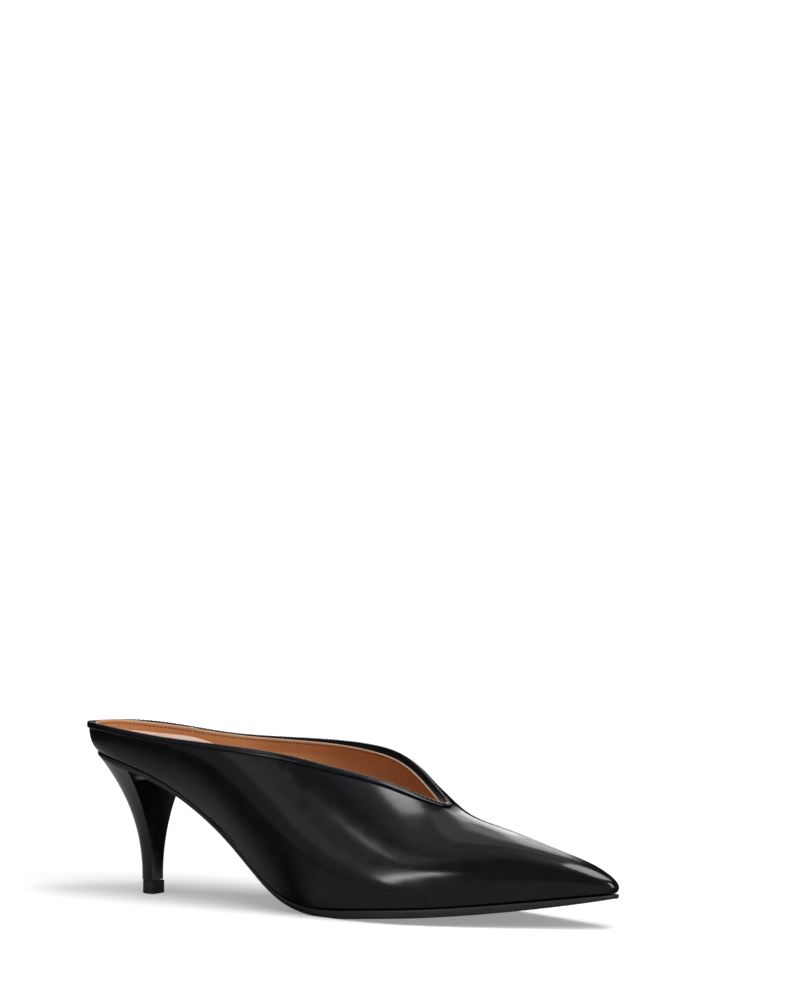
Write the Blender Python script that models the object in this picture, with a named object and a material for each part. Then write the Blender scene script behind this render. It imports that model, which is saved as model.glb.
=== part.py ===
"""A right-foot pointed mule pump on a slim covered heel, standing empty on its sole.

Six separate pieces: hollow upper, rolled collar binding, outsole, insole, heel and top piece.
The tables and sizes below are in millimetres, and MM turns them into Blender's metres.
x runs from the back of the heel to the toe, y to the medial (left) side, z up from the floor.
"""

from math import acos, cos, pi, sin

import bmesh
import bpy
import numpy as np

MM = 0.001

# Driving dimensions.
LENGTH = 248.0          # back of the heel to the tip of the toe
WALL = 2.0              # upper leather and its lining
GAP = 0.3               # between pieces that touch
APEX_X = 173.0          # point of the V-shaped throat
SOLE_LIP = 1.2          # how far the sole's tip stands past the upper's
SOLE_BEVEL = 0.35       # share of the sole's edge that is bevelled
BEVEL_LEAN = 0.8        # how far the bevel goes in for each millimetre down
SOLE_END_WIDTH = 6.0    # below this half-width the sole's overhang shrinks with its outline
SOCK_DISH = 0.6         # how far the sock dips in the middle
LIFT_HEIGHT = 5.4       # top piece
HEEL_FRONT_X = 28.8     # breast of the heel
STEM_LENGTH = 7.1       # the heel's section above the top piece, front to back
STEM_HALF_WIDTH = 3.8
STEM_FULLNESS = 0.8     # 1 is an ellipse, less is squarer
HEEL_FLARE = 2.2        # higher keeps the stem slim for longer
SEAT_INSET = 0.7        # the heel stays this far inside the sole's edge
BREAST_HOLLOW = 1.8     # how far the breast is hollowed at its middle
LIFT_SHIFT = 0.5        # the top piece sits this far forward of the stem
LIFT_PROUD = 0.15       # and stands out this far round it

# How finely the pieces are cut, and how near two points are one.
SLOPE_STEP = 0.0005
SEAM = 0.000002         # metres
SHARP_ANGLE = 0.7
BACK_STATIONS = 36
FRONT_STATIONS = 18
WALL_ROWS = 9
SOLE_STATIONS = 48
SOLE_STRIPS = 8
HEEL_SIDES = 28
HEEL_LEVELS = 14
BREAST_STRIPS = 6

# The last: each row is a section at x. The feather edge is where the upper meets the sole,
# side and shoulder steer the wall's swell, and the ridge is the top of the instep.
LAST = [
    #  x   feather  side  ridge | lateral: feather side shoulder | medial: feather side shoulder
    (0,     60.8, 65.6, 88.0,              0.0,  0.0,  0.0,               0.0,  0.0,  0.0),
    (8,     59.8, 65.1, 88.0,             17.0, 21.3, 16.3,              16.6, 20.8, 16.3),
    (25,    55.8, 64.0, 88.0,             22.0, 26.4, 28.0,              22.2, 26.9, 29.0),
    (52,    46.0, 58.0, 89.0,             23.2, 30.3, 33.2,              22.2, 31.0, 36.0),
    (80,    26.3, 43.0, 88.5,             22.3, 36.0, 38.2,              19.9, 36.2, 40.0),
    (102,    8.6, 30.8, 82.5,             23.8, 42.2, 34.4,              20.8, 40.0, 41.5),
    (118,    3.8, 27.0, 75.0,             26.8, 47.2, 26.8,              23.6, 42.0, 41.0),
    (150,    4.6, 20.2, 59.0,             33.2, 45.4, 16.2,              31.8, 41.0, 37.0),
    (173,    6.2, 18.0, 43.9,             32.8, 38.2, 16.4,              31.8, 36.5, 24.0),
    (195,    8.0, 17.5, 36.9,             26.8, 30.0, 13.5,              25.4, 28.6, 15.5),
    (220,   10.6, 17.5, 30.3,             16.6, 18.6,  8.8,              15.4, 17.2,  8.8),
    (238,   12.6, 17.0, 25.2,              8.7,  9.5,  4.7,               8.0,  9.0,  4.7),
    (248,   13.6, 16.0, 20.6,              0.0,  0.0,  0.0,               0.0,  0.0,  0.0),
]
LAST_COLUMNS = (
    "feather_z", "side_z", "ridge_z",
    "lateral_feather", "lateral_side", "lateral_shoulder",
    "medial_feather", "medial_side", "medial_shoulder",
)
# Where each of those lines starts at the heel and ends at the toe.
LINE_ENDS = {
    "feather": (3.6, 246.8),
    "side": (-3.3, 249.3),
    "shoulder": (-3.0, 248.6),
    "ridge": (4.0, 244.0),
}

# The collar's leather edge, before its binding: height on each side.
COLLAR = [
    # x   lateral medial
    (0,    70.6, 70.6),
    (8,    71.0, 69.9),
    (25,   69.7, 67.9),
    (52,   67.0, 65.0),
    (85,   65.0, 64.2),
    (118,  60.7, 63.2),
    (150,  51.7, 57.2),
    (173,  44.8, 44.8),
]
# The throat's leather edge: half-width on each side.
THROAT = [
    # x   lateral medial
    (100,  29.3, 30.9),
    (120,  23.9, 27.0),
    (148,  14.6, 16.0),
    (173,   0.0,  0.0),
]
THROAT_TAKES_OVER = (104.0, 138.0)      # from the collar's heights to the throat's widths

# Outsole: thickness, how far it stands out past the feather edge, and how far its middle dips.
SOLE = [
    # x   thick  out  crown
    (0,    2.0,  0.2,  0.0),
    (30,   2.0,  0.2,  0.0),
    (65,   1.7,  0.0,  0.0),
    (98,   2.0,  0.0,  0.4),
    (128,  3.1,  0.4,  1.0),
    (165,  3.3,  0.6,  1.0),
    (205,  3.1,  0.6,  0.7),
    (232,  2.5,  0.5,  0.3),
    (248,  1.5,  0.4,  0.0),
]
# Insole with its heel pad and sock: height of the sock's edge above the feather edge.
SOCK = [
    # x   height
    (0,    7.2),
    (16,   7.8),
    (30,  10.2),
    (45,  11.0),
    (62,   9.5),
    (88,   6.5),
    (122,  4.2),
    (165,  3.3),
    (248,  3.0),
]

# The binding's section: how far out of the wall's face, and how far up past its edge.
BINDING = [
    # out   up
    (0.35, -1.7),
    (0.85, -1.7),
    (0.95, -0.6),
    (0.85,  0.5),
    (0.4,   1.2),
    (-0.6,  1.45),
    (-1.8,  1.35),
    (-2.7,  0.9),
    (-3.0,  0.1),
    (-3.0, -1.0),
    (-2.4, -1.0),
    (-2.35, 0.3),
    (0.35,  0.3),
]

COLOURS = {
    "upper": (0.012, 0.012, 0.014),
    "collar_binding": (0.010, 0.010, 0.012),
    "outsole": (0.020, 0.020, 0.022),
    "insole": (0.66, 0.46, 0.35),
    "heel": (0.012, 0.012, 0.015),
    "top_piece": (0.015, 0.015, 0.017),
}
ROUGHNESS = {
    "upper": 0.12,
    "collar_binding": 0.25,
    "outsole": 0.45,
    "insole": 0.55,
    "heel": 0.15,
    "top_piece": 0.5,
}


def reach(x, start=0.0, end=LENGTH):
    """How far along a line x lies, from 0 at the heel to 1 at the toe, slow at both round ends."""
    share = min(1.0, max(0.0, (x - start) / (end - start)))
    return acos(1.0 - 2.0 * share) / pi


def place(share, start, end):
    """The x that reach() gives this share for."""
    return start + (end - start) * (1.0 - cos(pi * share)) / 2.0


class Curve:
    """A cubic spline. At a mirrored end, +1 goes on level and -1 goes on through zero."""

    def __init__(self, places, values, start=1, end=1):
        places, values = list(places), list(values)
        if start:
            before = [(2 * places[0] - places[i], start * values[i]) for i in (2, 1)]
            places = [p for p, _ in before] + places
            values = [v for _, v in before] + values
        if end:
            after = [(2 * places[-1] - places[-i], end * values[-i]) for i in (2, 3)]
            places = places + [p for p, _ in after]
            values = values + [v for _, v in after]
        self.places, self.values = np.array(places), np.array(values)
        steps = np.diff(self.places)
        slopes = np.diff(self.values) / steps
        rows = np.eye(len(places))
        right = np.zeros(len(places))
        for i in range(1, len(places) - 1):
            rows[i, i - 1:i + 2] = steps[i - 1], 2 * (steps[i - 1] + steps[i]), steps[i]
            right[i] = 6 * (slopes[i] - slopes[i - 1])
        self.bends = np.linalg.solve(rows, right)

    def __call__(self, at):
        i = int(np.clip(np.searchsorted(self.places, at) - 1, 0, len(self.places) - 2))
        step = self.places[i + 1] - self.places[i]
        far = (at - self.places[i]) / step
        near = 1.0 - far
        bend = (near**3 - near) * self.bends[i] + (far**3 - far) * self.bends[i + 1]
        return near * self.values[i] + far * self.values[i + 1] + bend * step * step / 6


def columns(table, names, start=1, end=1, length=LENGTH):
    """Each named column of a table as a curve along the shoe. Widths close to zero at both ends."""
    places = [reach(row[0], 0.0, length) for row in table]
    return {name: Curve(places, [row[i + 1] for row in table], start, end)
            for i, name in enumerate(names)}


last = columns(LAST, LAST_COLUMNS[:3])
last.update({name: Curve([reach(row[0]) for row in LAST], [row[i + 4] for row in LAST], -1, -1)
             for i, name in enumerate(LAST_COLUMNS[3:])})
collar = columns(COLLAR, ("lateral", "medial"), 1, 0)
throat = columns(THROAT, ("lateral", "medial"), 0, -1, APEX_X)
sole = columns(SOLE, ("thick", "out", "crown"))
sock = columns(SOCK, ("height",))
SIDES = {"lateral": -1.0, "medial": 1.0}


def ridge_slope(share):
    """Fall of the ridge, read a little short of its ends, where a spline levels out."""
    middle = min(0.97, max(0.03, share))
    low, high = middle - 0.01, middle + 0.01
    run = place(high, *LINE_ENDS["ridge"]) - place(low, *LINE_ENDS["ridge"])
    return (last["ridge_z"](high) - last["ridge_z"](low)) / run


def section(side, share):
    """The four points that steer the last's section, from the feather edge up to the ridge."""
    x = {line: place(share, *ends) for line, ends in LINE_ENDS.items()}
    out = {line: SIDES[side] * last[f"{side}_{line}"](share) for line in ("feather", "side", "shoulder")}
    ridge_z = last["ridge_z"](share)
    # The shoulder lies on the ridge's tangent, so that the two sides meet without a crease.
    shoulder_z = ridge_z + (x["shoulder"] - x["ridge"]) * ridge_slope(share)
    return np.array([
        (x["feather"], out["feather"], last["feather_z"](share)),
        (x["side"], out["side"], last["side_z"](share)),
        (x["shoulder"], out["shoulder"], shoulder_z),
        (x["ridge"], 0.0, ridge_z),
    ])


def bezier(points, t):
    """The point at t on a section."""
    s = 1.0 - t
    return s**3 * points[0] + 3 * s * s * t * points[1] + 3 * s * t * t * points[2] + t**3 * points[3]


def crossing(height_at, target, low=0.0, high=1.0):
    """Where a rising function passes the target."""
    for _ in range(40):
        middle = (low + high) / 2
        if height_at(middle) < target:
            low = middle
        else:
            high = middle
    return (low + high) / 2


def bezier_slope(points, t):
    """The direction up a section at t."""
    s = 1.0 - t
    low, middle, high = np.diff(points, axis=0)
    return s * s * low + 2 * s * t * middle + t * t * high


def normal(side, share, t):
    """Outward normal of the last's surface."""
    if share < SLOPE_STEP:
        along = np.array((0.0, SIDES[side], 0.0))
    elif share > 1.0 - SLOPE_STEP:
        along = np.array((0.0, -SIDES[side], 0.0))
    else:
        along = bezier(section(side, share + SLOPE_STEP), t) - bezier(section(side, share - SLOPE_STEP), t)
    out = np.cross(along, bezier_slope(section(side, share), t)) * -SIDES[side]
    if t == 1.0:
        out[1] = 0.0    # the two sides share the ridge
    return out / np.linalg.norm(out)


def on_last(side, share, t, depth=0.0):
    """A point of the upper's outside, or this deep inside it."""
    point = bezier(section(side, share), t)
    return point - depth * normal(side, share, t) if depth else point


def edge_at(side, x):
    """How far up its section the leather is cut, at the collar, the throat or the closed ridge."""
    if x >= APEX_X:
        return 1.0
    share = reach(x)
    here = section(side, share)
    by_height = crossing(lambda t: bezier(here, t)[2], collar[side](share))
    if x <= THROAT_TAKES_OVER[0]:
        return by_height
    half_width = throat[side](reach(x, 0.0, APEX_X))
    by_width = crossing(lambda t: -abs(bezier(here, t)[1]), -half_width, 0.35, 1.0)
    first, final = THROAT_TAKES_OVER
    mix = min(1.0, (x - first) / (final - first))
    mix = mix * mix * (3.0 - 2.0 * mix)
    return by_height * (1.0 - mix) + by_width * mix


def feather_level(x, y):
    """Height of the plane between upper and sole, which dips a little across the middle."""
    share = reach(x, *LINE_ENDS["feather"])
    width = last["lateral_feather" if y < 0 else "medial_feather"](share)
    across = min(1.0, abs(y) / width) if width > 0.01 else 1.0
    return last["feather_z"](share) - sole["crown"](share) * (1.0 - across * across)


def inside_foot(side, share, depth):
    """The foot of the wall's inner face, level with the feather plane."""
    out = normal(side, share, 0.0)
    out[2] = 0.0
    point = bezier(section(side, share), 0.0) - depth * out / np.linalg.norm(out)
    point[2] = feather_level(point[0], point[1])
    return point


def stations():
    """x of the upper's sections, close together at the heel, at the throat's point and at the toe."""
    back = [place(i / BACK_STATIONS, 0.0, APEX_X) for i in range(BACK_STATIONS)]
    front = [place(i / FRONT_STATIONS, APEX_X, LENGTH) for i in range(FRONT_STATIONS + 1)]
    return back + front


def upper_patches():
    """Outer and inner face of each side, joined along the foot and round the open edge."""
    xs = stations()
    rows = [i / WALL_ROWS for i in range(WALL_ROWS + 1)]
    patches = []
    rims = {}
    for side in SIDES:
        outer, inner = [], []
        for x in xs:
            share, top = reach(x), edge_at(side, x)
            outer.append([on_last(side, share, row * top) for row in rows])
            inner.append([inside_foot(side, share, WALL)]
                         + [on_last(side, share, row * top, WALL) for row in rows[1:]])
        patches += [outer, inner]
        patches.append([[out[0], into[0]] for out, into in zip(outer, inner)])
        rims[side] = [[out[-1], into[-1]] for out, into in zip(outer, inner)]
        patches.append(rims[side][:BACK_STATIONS + 1])
    return patches


def binding_patches():
    """A strip folded over the leather's edge, once round the opening."""
    loop = []
    for side in SIDES:
        xs = stations()[:BACK_STATIONS + 1]
        ring = [(on_last(side, reach(x), edge_at(side, x)), normal(side, reach(x), edge_at(side, x)))
                for x in xs]
        # Lateral from the throat back to the heel, then medial from the heel to the throat.
        loop += ring[:0:-1] if side == "lateral" else ring[:-1]
    path = np.array([point for point, _ in loop])
    outs = np.array([out for _, out in loop])
    tangents = np.roll(path, -1, axis=0) - np.roll(path, 1, axis=0)
    tangents /= np.linalg.norm(tangents, axis=1)[:, None]
    ups = np.cross(tangents, outs)
    ups /= np.linalg.norm(ups, axis=1)[:, None]
    rings = [[p + out * n + up * u for out, up in BINDING] for p, n, u in zip(path, outs, ups)]
    rings = [ring + ring[:1] for ring in rings]
    return [rings + rings[:1]]


def across(left, right, strips, height):
    """Points from one side to the other, at the height that a function gives them."""
    points = []
    for i in range(strips + 1):
        point = left + (right - left) * i / strips
        point[2] = height(point[0], point[1], 2.0 * i / strips - 1.0, point[2])
        points.append(point)
    return points


def sole_outline(side, share, inset=0.0):
    """The outsole's edge, seen from above."""
    first, final = LINE_ENDS["feather"]
    x = place(share, first - sole["out"](0.0) + inset, final + SOLE_LIP - inset)
    # Past the round ends a plain inset would fold, so the width shrinks with the outline's own.
    width = last[f"{side}_feather"](share)
    ends = min(1.0, width / SOLE_END_WIDTH)
    return x, SIDES[side] * (width + (sole["out"](share) - inset) * ends)


def under_sole(x, y):
    """Height of the outsole's underside: its tread is flat where it meets the floor."""
    share = reach(x, *LINE_ENDS["feather"])
    return max(0.0, feather_level(x, y) - GAP - sole["thick"](share))


def outsole_patches():
    """The sole's top, its underside and its bevelled edge."""
    tops, bottoms, edges = [], [], {side: [] for side in SIDES}
    for i in range(SOLE_STATIONS + 1):
        share = i / SOLE_STATIONS
        bevel = sole["thick"](share) * SOLE_BEVEL
        upper_edge, lower_edge = {}, {}
        for side in SIDES:
            x, y = sole_outline(side, share)
            upper_edge[side] = np.array((x, y, feather_level(x, y) - GAP))
            side_edge = np.array((x, y, under_sole(x, y) + bevel))
            x, y = sole_outline(side, share, bevel * BEVEL_LEAN)
            lower_edge[side] = np.array((x, y, under_sole(x, y)))
            edges[side].append([upper_edge[side], side_edge, lower_edge[side]])
        tops.append(across(upper_edge["lateral"], upper_edge["medial"], SOLE_STRIPS,
                           lambda x, y, v, z: feather_level(x, y) - GAP))
        bottoms.append(across(lower_edge["lateral"], lower_edge["medial"], SOLE_STRIPS,
                              lambda x, y, v, z: under_sole(x, y)))
    return [tops, bottoms] + list(edges.values())


def insole_patches():
    """The board with its pad and sock, 0.3 mm inside the wall, following the wall's lean."""
    tops, bottoms, edges = [], [], {side: [] for side in SIDES}
    depth = WALL + GAP
    for i in range(SOLE_STATIONS + 1):
        share = i / SOLE_STATIONS
        foot, rim = {}, {}
        for side in SIDES:
            foot[side] = inside_foot(side, share, depth)
            level = last["feather_z"](share) + sock["height"](share)
            t = crossing(lambda t: on_last(side, share, t, depth)[2], level, 0.02, 0.6)
            rim[side] = on_last(side, share, t, depth)
            middle = on_last(side, share, t / 2, depth)
            edges[side].append([foot[side], middle, rim[side]])
        bottoms.append(across(foot["lateral"], foot["medial"], SOLE_STRIPS,
                              lambda x, y, v, z: feather_level(x, y)))
        tops.append(across(rim["lateral"], rim["medial"], SOLE_STRIPS,
                           lambda x, y, v, z: z - SOCK_DISH * (1.0 - v * v)))
    return [tops, bottoms] + list(edges.values())


def stem_point(turn, grow=0.0, shift=0.0):
    """The D-shaped section of the heel's stem: turn runs from -1, medial, over the back to 1."""
    angle = turn * pi / 2
    depth = (STEM_LENGTH + grow) * cos(angle) ** STEM_FULLNESS if abs(turn) < 1 else 0.0
    width = (STEM_HALF_WIDTH + grow) * abs(sin(angle)) ** STEM_FULLNESS
    return np.array((HEEL_FRONT_X + shift - depth, -width if turn > 0 else width, 0.0))


def seat_point(turn):
    """The heel's outline under the seat, at the same turn."""
    side = "lateral" if turn > 0 else "medial"
    breast = reach(HEEL_FRONT_X, *LINE_ENDS["feather"])
    x, y = sole_outline(side, abs(turn) * breast, SEAT_INSET)
    return np.array((x, y, under_sole(x, y) - GAP))


def cap(back_row, breast_row):
    """Rows across the heel, from the middle of its round back to its breast."""
    half = HEEL_SIDES // 2
    rows = []
    for k in range(half):
        medial, lateral = back_row[half - k], back_row[half + k]
        rows.append(across(lateral, medial, BREAST_STRIPS, lambda x, y, v, z: z))
    return rows + [breast_row]


def heel_patches():
    """A trumpet from the D-shaped stem to the seat, with a slightly hollow breast."""
    turns = [2.0 * i / HEEL_SIDES - 1.0 for i in range(HEEL_SIDES + 1)]
    bottom_z = LIFT_HEIGHT + GAP
    back, breast = [], []
    for step in range(HEEL_LEVELS + 1):
        level = step / HEEL_LEVELS
        row = []
        for turn in turns:
            stem, seat = stem_point(turn), seat_point(turn)
            point = stem + (seat - stem) * level**HEEL_FLARE
            point[2] = bottom_z + (seat[2] - bottom_z) * level
            row.append(point)
        back.append(row)
        line = across(row[-1], row[0], BREAST_STRIPS, lambda x, y, v, z: z)
        for i, point in enumerate(line):
            v = 2.0 * i / BREAST_STRIPS - 1.0
            point[0] -= BREAST_HOLLOW * (1.0 - v * v) * level
        breast.append(line)
    return [back, breast, cap(back[0], breast[0]), cap(back[-1], breast[-1])]


def top_piece_patches():
    """The wearing block under the stem, a little larger all round."""
    turns = [2.0 * i / HEEL_SIDES - 1.0 for i in range(HEEL_SIDES + 1)]
    rings = []
    for z in (0.0, LIFT_HEIGHT):
        ring = [stem_point(turn, LIFT_PROUD, LIFT_SHIFT) for turn in turns]
        for point in ring:
            point[2] = z
        rings.append(ring)
    fronts = [across(ring[-1], ring[0], BREAST_STRIPS, lambda x, y, v, z: z) for ring in rings]
    return [rings, fronts] + [cap(ring, front) for ring, front in zip(rings, fronts)]


def sew(name, patches, origin):
    """One closed mesh from grids of points, joined where their edges meet."""
    mesh = bmesh.new()
    for patch in patches:
        grid = [[mesh.verts.new((point - origin) * MM) for point in row] for row in patch]
        for row, after in zip(grid, grid[1:]):
            for i in range(len(row) - 1):
                mesh.faces.new((row[i], row[i + 1], after[i + 1], after[i]))
    bmesh.ops.remove_doubles(mesh, verts=mesh.verts, dist=SEAM)
    bmesh.ops.recalc_face_normals(mesh, faces=mesh.faces)
    if mesh.calc_volume(signed=True) < 0.0:
        bmesh.ops.reverse_faces(mesh, faces=mesh.faces)
    data = bpy.data.meshes.new(name)
    mesh.to_mesh(data)
    mesh.free()
    data.shade_smooth()
    data.set_sharp_from_angle(angle=SHARP_ANGLE)
    return data


def add_piece(name, patches, origin, parent):
    """One named object, with its own material, on the shoe's empty."""
    piece = bpy.data.objects.new(name, sew(name, patches, origin))
    bpy.context.scene.collection.objects.link(piece)
    piece.parent = parent
    material = bpy.data.materials.new(name)
    material.use_nodes = True
    shader = material.node_tree.nodes["Principled BSDF"]
    shader.inputs["Base Color"].default_value = (*COLOURS[name], 1.0)
    shader.inputs["Roughness"].default_value = ROUGHNESS[name]
    shader.inputs["Metallic"].default_value = 0.0
    piece.data.materials.append(material)


for old in list(bpy.data.objects):
    bpy.data.objects.remove(old, do_unlink=True)

pieces = {
    "upper": upper_patches(),
    "collar_binding": binding_patches(),
    "outsole": outsole_patches(),
    "insole": insole_patches(),
    "heel": heel_patches(),
    "top_piece": top_piece_patches(),
}
# The origin is on the floor, under the middle of the whole shoe's box.
everything = np.array([point for patches in pieces.values()
                       for patch in patches for row in patch for point in row])
middle = (everything.min(axis=0) + everything.max(axis=0)) / 2
middle[2] = 0.0
shoe = bpy.data.objects.new("right_shoe", None)
bpy.context.scene.collection.objects.link(shoe)
for piece_name, piece_patches in pieces.items():
    add_piece(piece_name, piece_patches, middle, shoe)
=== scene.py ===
from math import cos, pi, radians, sin

import bmesh
import bpy
import numpy as np
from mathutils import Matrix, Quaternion, Vector


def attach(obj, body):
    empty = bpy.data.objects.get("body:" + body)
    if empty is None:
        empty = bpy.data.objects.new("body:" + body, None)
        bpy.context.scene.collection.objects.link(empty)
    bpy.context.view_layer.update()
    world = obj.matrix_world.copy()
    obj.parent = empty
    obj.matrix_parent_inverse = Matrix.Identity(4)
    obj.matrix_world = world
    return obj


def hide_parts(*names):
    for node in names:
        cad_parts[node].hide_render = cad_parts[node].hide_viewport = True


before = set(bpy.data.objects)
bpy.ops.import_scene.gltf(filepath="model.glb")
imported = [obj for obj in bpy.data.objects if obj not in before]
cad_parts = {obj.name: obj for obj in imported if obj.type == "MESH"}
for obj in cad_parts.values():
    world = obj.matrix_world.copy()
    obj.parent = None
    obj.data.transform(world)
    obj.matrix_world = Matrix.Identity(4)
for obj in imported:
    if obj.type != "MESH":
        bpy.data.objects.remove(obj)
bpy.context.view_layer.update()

# A right-foot pointed mule pump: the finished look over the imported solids, in the order it is put
# together. Tables and sizes are in millimetres in the shoe's own frame (x from the heel's back to
# the toe, y to the medial side, z up), and place_mm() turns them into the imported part's metres.


# ---------------------------------------------------------------------------------------
# Insole board and sock. The board is lasted to the foot's shape and padded at the heel;
# a thin pale leather sock is glued over it, and its edge stands a little proud of the wall's foot.

LENGTH = 248.0
SHOE_MIDDLE = np.array((123.133, 0.030, 0.0))

# The last: sections at x. Feather edge, side and ridge heights, then the widths of the
# feather edge, the side and the shoulder on the lateral and on the medial side.
LAST = [
    (0,     60.8, 65.6, 88.0,              0.0,  0.0,  0.0,               0.0,  0.0,  0.0),
    (8,     59.8, 65.1, 88.0,             17.0, 21.3, 16.3,              16.6, 20.8, 16.3),
    (25,    55.8, 64.0, 88.0,             22.0, 26.4, 28.0,              22.2, 26.9, 29.0),
    (52,    46.0, 58.0, 89.0,             23.2, 30.3, 33.2,              22.2, 31.0, 36.0),
    (80,    26.3, 43.0, 88.5,             22.3, 36.0, 38.2,              19.9, 36.2, 40.0),
    (102,    8.6, 30.8, 82.5,             23.8, 42.2, 34.4,              20.8, 40.0, 41.5),
    (118,    3.8, 27.0, 75.0,             26.8, 47.2, 26.8,              23.6, 42.0, 41.0),
    (150,    4.6, 20.2, 59.0,             33.2, 45.4, 16.2,              31.8, 41.0, 37.0),
    (173,    6.2, 18.0, 43.9,             32.8, 38.2, 16.4,              31.8, 36.5, 24.0),
    (195,    8.0, 17.5, 36.9,             26.8, 30.0, 13.5,              25.4, 28.6, 15.5),
    (220,   10.6, 17.5, 30.3,             16.6, 18.6,  8.8,              15.4, 17.2,  8.8),
    (238,   12.6, 17.0, 25.2,              8.7,  9.5,  4.7,               8.0,  9.0,  4.7),
    (248,   13.6, 16.0, 20.6,              0.0,  0.0,  0.0,               0.0,  0.0,  0.0),
]
LAST_COLUMNS = (
    "feather_z", "side_z", "ridge_z",
    "lateral_feather", "lateral_side", "lateral_shoulder",
    "medial_feather", "medial_side", "medial_shoulder",
)
LINE_ENDS = {
    "feather": (3.6, 246.8),
    "side": (-3.3, 249.3),
    "shoulder": (-3.0, 248.6),
    "ridge": (4.0, 244.0),
}
# Height of the sock's edge above the feather edge.
SOCK_EDGE = [
    # x   height
    (0,    7.2),
    (16,   7.8),
    (30,  10.2),
    (45,  11.0),
    (62,   9.5),
    (88,   6.5),
    (122,  4.2),
    (165,  3.3),
    (248,  3.0),
]
# How far the sole and the board under the middle of the foot dip below the feather edge.
CROWN = [(0, 0.0), (65, 0.0), (98, 0.4), (128, 1.0), (165, 1.0), (205, 0.7), (232, 0.3), (248, 0.0)]
WALL = 2.0                      # upper leather and lining together
GAP = 0.3                       # between pieces that touch
SOCK_DISH = 0.6                 # how far the padding sinks between the sock's edges
SOCK_THICK = 0.7
SOCK_GLUE = 0.05
SOCK_ROUNDING = (0.35, 0.5)     # how much lower the very edge is, and over how far in
SOCK_RIDGE = (0.12, 1.6, 0.9)   # the pressed ridge: its height, its distance in, its half-width
SOCK_SEARCH = (0.01, 0.6)       # between which shares of the section the sock's edge lies
SOCK_TANS = ((0.64, 0.47, 0.385), (0.72, 0.54, 0.45))
BOARD_BROWNS = ((0.33, 0.22, 0.14), (0.40, 0.28, 0.18))
INSOLE_STATIONS = 150
INSOLE_STRIPS = 28
BOARD_ROWS = 4
SIDES = {"lateral": -1.0, "medial": 1.0}
SLOPE_STEP = 0.0005             # share of the length over which a slope is measured
RIDGE_STEP = 0.01               # and the same for the ridge, whose slope is held at both ends
RIDGE_HELD = (0.03, 0.97)
HALVINGS = 40
NARROWEST = 0.01                # narrower than this, a section counts as a point
SEAM = 0.000004                 # metres: points this close are one,
SLIVER = 0.000001               # and edges this short are none


def reach(x, start=0.0, end=LENGTH):
    """How far along a line x lies, from 0 at the heel to 1 at the toe, slow at the round ends."""
    share = np.clip((np.asarray(x, float) - start) / (end - start), 0.0, 1.0)
    return np.arccos(1.0 - 2.0 * share) / pi


def place(share, start, end):
    """The x that reach() gives this share for."""
    return start + (end - start) * (1.0 - np.cos(pi * np.asarray(share, float))) / 2.0


class Curve:
    """A cubic spline. At a mirrored end, +1 goes on level and -1 goes on through zero."""

    def __init__(self, places, values, start=1, end=1):
        places, values = [float(p) for p in places], list(values)
        if start:
            before = [(2 * places[0] - places[i], start * values[i]) for i in (2, 1)]
            places = [p for p, _ in before] + places
            values = [v for _, v in before] + values
        if end:
            after = [(2 * places[-1] - places[-i], end * values[-i]) for i in (2, 3)]
            places = places + [p for p, _ in after]
            values = values + [v for _, v in after]
        self.places, self.values = np.array(places), np.array(values, float)
        steps = np.diff(self.places)
        slopes = np.diff(self.values) / steps
        rows = np.eye(len(places))
        right = np.zeros(len(places))
        for i in range(1, len(places) - 1):
            rows[i, i - 1:i + 2] = steps[i - 1], 2 * (steps[i - 1] + steps[i]), steps[i]
            right[i] = 6 * (slopes[i] - slopes[i - 1])
        self.bends = np.linalg.solve(rows, right)

    def __call__(self, at):
        i = np.clip(np.searchsorted(self.places, at) - 1, 0, len(self.places) - 2)
        step = self.places[i + 1] - self.places[i]
        far = (at - self.places[i]) / step
        near = 1.0 - far
        bend = (near**3 - near) * self.bends[i] + (far**3 - far) * self.bends[i + 1]
        return near * self.values[i] + far * self.values[i + 1] + bend * step * step / 6


def column(table, which, start=1, end=1, length=LENGTH):
    """One column of a table as a curve along the shoe."""
    return Curve([reach(row[0], 0.0, length) for row in table], [row[which] for row in table], start, end)


# Heights go on level past both ends, and widths go on through zero.
last = {
    name: column(LAST, i + 1, *((1, 1) if name.endswith("_z") else (-1, -1)))
    for i, name in enumerate(LAST_COLUMNS)
}
sock_edge = column(SOCK_EDGE, 1)
crown = column(CROWN, 1)


def section(side, share):
    """The four steering points of the last's section at each share, from feather edge to ridge."""
    share = np.asarray(share, float)
    x = {line: place(share, *ends) for line, ends in LINE_ENDS.items()}
    out = {line: SIDES[side] * last[f"{side}_{line}"](share) for line in ("feather", "side", "shoulder")}
    ridge_z = last["ridge_z"](share)
    middle = np.clip(share, *RIDGE_HELD)
    before, after = middle - RIDGE_STEP, middle + RIDGE_STEP
    fall = last["ridge_z"](after) - last["ridge_z"](before)
    run = place(after, *LINE_ENDS["ridge"]) - place(before, *LINE_ENDS["ridge"])
    shoulder_z = ridge_z + (x["shoulder"] - x["ridge"]) * fall / run
    return np.stack([
        np.stack([x["feather"], out["feather"], last["feather_z"](share)], -1),
        np.stack([x["side"], out["side"], last["side_z"](share)], -1),
        np.stack([x["shoulder"], out["shoulder"], shoulder_z], -1),
        np.stack([x["ridge"], 0.0 * share, ridge_z], -1),
    ], 1)


def bezier(points, t):
    """Points at t, an array of rows by columns, on each row's section."""
    s = 1.0 - t
    weights = np.stack([s**3, 3 * s * s * t, 3 * s * t * t, t**3], -1)
    return np.einsum("ijk,ikc->ijc", weights, points)


def climb(points, t):
    """The direction up the section at t."""
    s = 1.0 - t
    weights = np.stack([s * s, 2 * s * t, t * t], -1)
    return np.einsum("ijk,ikc->ijc", weights, np.diff(points, axis=1))


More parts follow.
